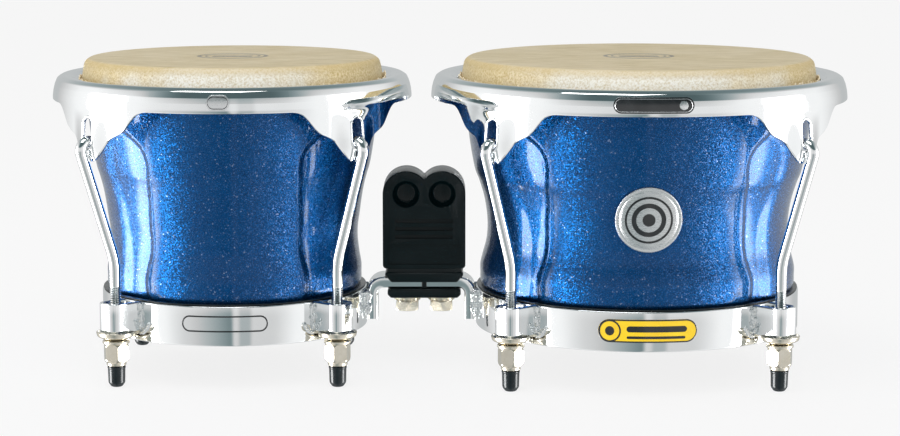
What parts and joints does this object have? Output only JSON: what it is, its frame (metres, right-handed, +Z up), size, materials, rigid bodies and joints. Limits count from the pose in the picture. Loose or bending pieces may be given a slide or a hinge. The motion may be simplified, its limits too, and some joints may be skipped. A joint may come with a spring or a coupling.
{
  "type": "bongos",
  "caption": "Pair of bongos, small and large, joined by a centre block, with tuning rods that hook over eared rims and end in rubber feet.",
  "frame": {"origin": "on the floor, under the middle of the pair's bounding box", "axes": "+X from the small drum to the large one, +Y to the back, +Z up"},
  "size_m": [0.4614, 0.2424, 0.183],
  "materials": {
    "lacquer": "blue sparkle gel coat on moulded fibreglass, high gloss",
    "hide": "natural buffalo hide, matt, mottled",
    "chrome": "polished chrome",
    "steel": "plain steel",
    "nickel": "warm nickel plate, satin",
    "rubber": "black rubber",
    "nylon": "black moulded nylon, satin",
    "brushed_badge": "brushed aluminium, blank",
    "black_enamel": "black enamel, blank",
    "yellow_enamel": "yellow enamel with a black border, blank"
  },
  "bodies": {
    "root": {"macho_shell": "lacquer", "macho_skin": "hide", "macho_bottom_ring": "chrome", "macho_gasket": "rubber", "macho_washer_front_left": "chrome", "macho_washer_front_right": "chrome", "macho_washer_back_right": "chrome", "macho_washer_back_left": "chrome", "hembra_shell": "lacquer", "hembra_skin": "hide", "hembra_bottom_ring": "chrome", "hembra_gasket": "rubber", "hembra_washer_front_left": "chrome", "hembra_washer_front_right": "chrome", "hembra_washer_back_right": "chrome", "hembra_washer_back_left": "chrome", "centre_block": "nylon", "clamp_plate": "nylon", "bar_macho": "chrome", "bar_hembra": "chrome", "bolt_left": "nickel", "bolt_right": "nickel", "lock_washer_left": "nickel", "lock_washer_right": "nickel", "hembra_shell_badge": "brushed_badge", "hembra_ring_badge": "yellow_enamel"},
    "macho_tuning": {"macho_rim": "chrome", "macho_flesh_hoop": "steel", "macho_rod_front_left": "chrome", "macho_foot_front_left": "rubber", "macho_rod_front_right": "chrome", "macho_foot_front_right": "rubber", "macho_rod_back_right": "chrome", "macho_foot_back_right": "rubber", "macho_rod_back_left": "chrome", "macho_foot_back_left": "rubber", "macho_rim_badge": "brushed_badge"},
    "macho_nut_front_left": {"macho_nut_front_left": "nickel"},
    "macho_nut_front_right": {"macho_nut_front_right": "nickel"},
    "macho_nut_back_right": {"macho_nut_back_right": "nickel"},
    "macho_nut_back_left": {"macho_nut_back_left": "nickel"},
    "hembra_tuning": {"hembra_rim": "chrome", "hembra_flesh_hoop": "steel", "hembra_rod_front_left": "chrome", "hembra_foot_front_left": "rubber", "hembra_rod_front_right": "chrome", "hembra_foot_front_right": "rubber", "hembra_rod_back_right": "chrome", "hembra_foot_back_right": "rubber", "hembra_rod_back_left": "chrome", "hembra_foot_back_left": "rubber", "hembra_rim_badge": "black_enamel"},
    "hembra_nut_front_left": {"hembra_nut_front_left": "nickel"},
    "hembra_nut_front_right": {"hembra_nut_front_right": "nickel"},
    "hembra_nut_back_right": {"hembra_nut_back_right": "nickel"},
    "hembra_nut_back_left": {"hembra_nut_back_left": "nickel"}
  },
  "joints": [
    {"name": "macho_tuning", "type": "slide", "parent": "root", "child": "macho_tuning", "axis": [0, 0, 1], "range_m": [-0.004, 0]},
    {"name": "macho_nut_front_left", "type": "hinge", "parent": "root", "child": "macho_nut_front_left", "pos_m": [-0.18934, -0.06279, 0.019], "axis": [0, 0, 1], "range_deg": [0, 1152]},
    {"name": "macho_nut_front_right", "type": "hinge", "parent": "root", "child": "macho_nut_front_right", "pos_m": [-0.06376, -0.06279, 0.019], "axis": [0, 0, 1], "range_deg": [0, 1152]},
    {"name": "macho_nut_back_right", "type": "hinge", "parent": "root", "child": "macho_nut_back_right", "pos_m": [-0.06376, 0.06279, 0.019], "axis": [0, 0, 1], "range_deg": [0, 1152]},
    {"name": "macho_nut_back_left", "type": "hinge", "parent": "root", "child": "macho_nut_back_left", "pos_m": [-0.18934, 0.06279, 0.019], "axis": [0, 0, 1], "range_deg": [0, 1152]},
    {"name": "hembra_tuning", "type": "slide", "parent": "root", "child": "hembra_tuning", "axis": [0, 0, 1], "range_m": [-0.004, 0]},
    {"name": "hembra_nut_front_left", "type": "hinge", "parent": "root", "child": "hembra_nut_front_left", "pos_m": [0.03419, -0.07566, 0.019], "axis": [0, 0, 1], "range_deg": [0, 1152]},
    {"name": "hembra_nut_front_right", "type": "hinge", "parent": "root", "child": "hembra_nut_front_right", "pos_m": [0.18551, -0.07566, 0.019], "axis": [0, 0, 1], "range_deg": [0, 1152]},
    {"name": "hembra_nut_back_right", "type": "hinge", "parent": "root", "child": "hembra_nut_back_right", "pos_m": [0.18551, 0.07566, 0.019], "axis": [0, 0, 1], "range_deg": [0, 1152]},
    {"name": "hembra_nut_back_left", "type": "hinge", "parent": "root", "child": "hembra_nut_back_left", "pos_m": [0.03419, 0.07566, 0.019], "axis": [0, 0, 1], "range_deg": [0, 1152]}
  ],
  "couplings": [
    {"joint": "macho_nut_front_left", "follows": "macho_tuning", "rad_per_m": -5026.5},
    {"joint": "macho_nut_front_right", "follows": "macho_tuning", "rad_per_m": -5026.5},
    {"joint": "macho_nut_back_right", "follows": "macho_tuning", "rad_per_m": -5026.5},
    {"joint": "macho_nut_back_left", "follows": "macho_tuning", "rad_per_m": -5026.5},
    {"joint": "hembra_nut_front_left", "follows": "hembra_tuning", "rad_per_m": -5026.5},
    {"joint": "hembra_nut_front_right", "follows": "hembra_tuning", "rad_per_m": -5026.5},
    {"joint": "hembra_nut_back_right", "follows": "hembra_tuning", "rad_per_m": -5026.5},
    {"joint": "hembra_nut_back_left", "follows": "hembra_tuning", "rad_per_m": -5026.5}
  ]
}
